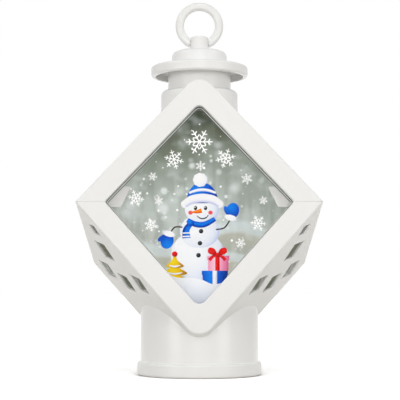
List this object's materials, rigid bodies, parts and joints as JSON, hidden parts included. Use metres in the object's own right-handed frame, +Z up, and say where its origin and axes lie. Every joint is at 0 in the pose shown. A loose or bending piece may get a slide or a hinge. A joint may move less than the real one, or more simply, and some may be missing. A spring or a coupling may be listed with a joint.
{
  "type": "snowman lantern",
  "caption": "Small battery lantern with a diamond-shaped white body, two picture windows, slotted lower walls, a round base and a hanging ring on a brimmed cap.",
  "frame": {"origin": "middle of the base, on the surface that the lantern stands on", "axes": "+Z up through the neck and the hanging ring, the front window faces -Y, +X to the right as seen from the front"},
  "size_m": [0.0852, 0.0466, 0.136],
  "materials": {
    "shell_white": "satin-gloss white moulded plastic",
    "clear_pane": "clear polished acrylic",
    "backdrop": "matt printed card, grey-green blurred winter ground",
    "steel": "plated steel",
    "contact_brass": "brass strip",
    "circuit_green": "green lacquered board",
    "lamp_lens": "warm milky lens",
    "switch_black": "fine-grained black plastic",
    "lead_red": "soft insulation",
    "lead_black": "soft insulation",
    "resistor_beige": "lacquered"
  },
  "bodies": {
    "lantern": {"upper_shell": "shell_white", "lower_shell": "shell_white", "front_pane": "clear_pane", "rear_pane": "clear_pane", "backdrop_card": "backdrop", "chimney_cap": "shell_white", "cap_screw": "steel", "base_cover": "shell_white", "side_strip": "contact_brass", "contact_spring": "contact_brass", "switch_body": "steel", "base_screw_1": "steel", "base_screw_2": "steel", "base_screw_3": "steel", "cell_1": "steel", "cell_2": "steel", "cell_3": "steel", "light_board": "circuit_green", "front_lamp": "lamp_lens", "rear_lamp": "lamp_lens", "resistor": "resistor_beige", "red_lead": "lead_red", "black_lead": "lead_black", "board_screw_left": "steel", "board_screw_right": "steel"},
    "ring": {"hanging_ring": "shell_white"},
    "lid": {"battery_lid": "shell_white", "lid_contact": "contact_brass"},
    "switch": {"switch_slider": "switch_black"}
  },
  "joints": [
    {"name": "ring_swing", "type": "hinge", "parent": "lantern", "child": "ring", "pos_m": [0, 0, 0.1208], "axis": [1, 0, 0], "range_deg": [-105, 105]},
    {"name": "lid_twist", "type": "hinge", "parent": "lantern", "child": "lid", "pos_m": [0, 0, 0.001], "axis": [0, 0, 1], "range_deg": [0, 45]},
    {"name": "switch_slide", "type": "slide", "parent": "lantern", "child": "switch", "axis": [1, 0, 0], "range_m": [0, 0.002]}
  ]
}
